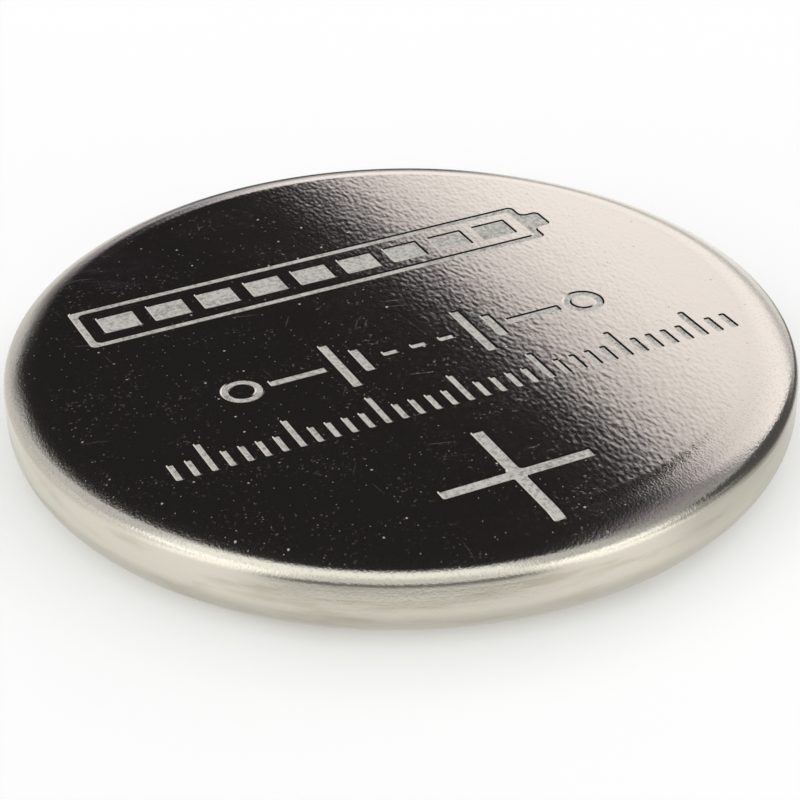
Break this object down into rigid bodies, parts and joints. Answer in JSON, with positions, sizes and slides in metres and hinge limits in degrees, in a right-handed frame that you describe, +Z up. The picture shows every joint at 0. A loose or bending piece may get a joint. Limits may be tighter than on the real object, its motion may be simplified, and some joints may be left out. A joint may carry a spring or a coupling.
{
  "type": "lithium coin cell",
  "caption": "Flat round lithium coin cell: polished steel can crimped over a moulded gasket and a stepped negative cap, with its electrodes inside.",
  "frame": {"origin": "centre of the flat negative contact face, which the cell stands on", "axes": "+Z up through the cell, out of the positive face; +X is the direction in which the marks on that face run"},
  "size_m": [0.02, 0.02, 0.0025],
  "materials": {
    "polished_can": "nickel-plated stainless sheet, mirror-bright face with fine orange peel, softer side wall",
    "gasket_plastic": "moulded polypropylene, matt",
    "satin_cap": "nickel-plated stainless sheet, fine satin",
    "lithium_foil": "soft rolled metal foil, dull",
    "separator_sheet": "non-woven fibre sheet",
    "cathode_mix": "pressed black powder, matt",
    "collector_steel": "expanded steel sheet"
  },
  "bodies": {
    "root": {"positive_can": "polished_can", "sealing_gasket": "gasket_plastic", "negative_cap": "satin_cap", "lithium_disc": "lithium_foil", "separator": "separator_sheet", "cathode_pellet": "cathode_mix", "collector_mesh": "collector_steel"}
  },
  "joints": []
}
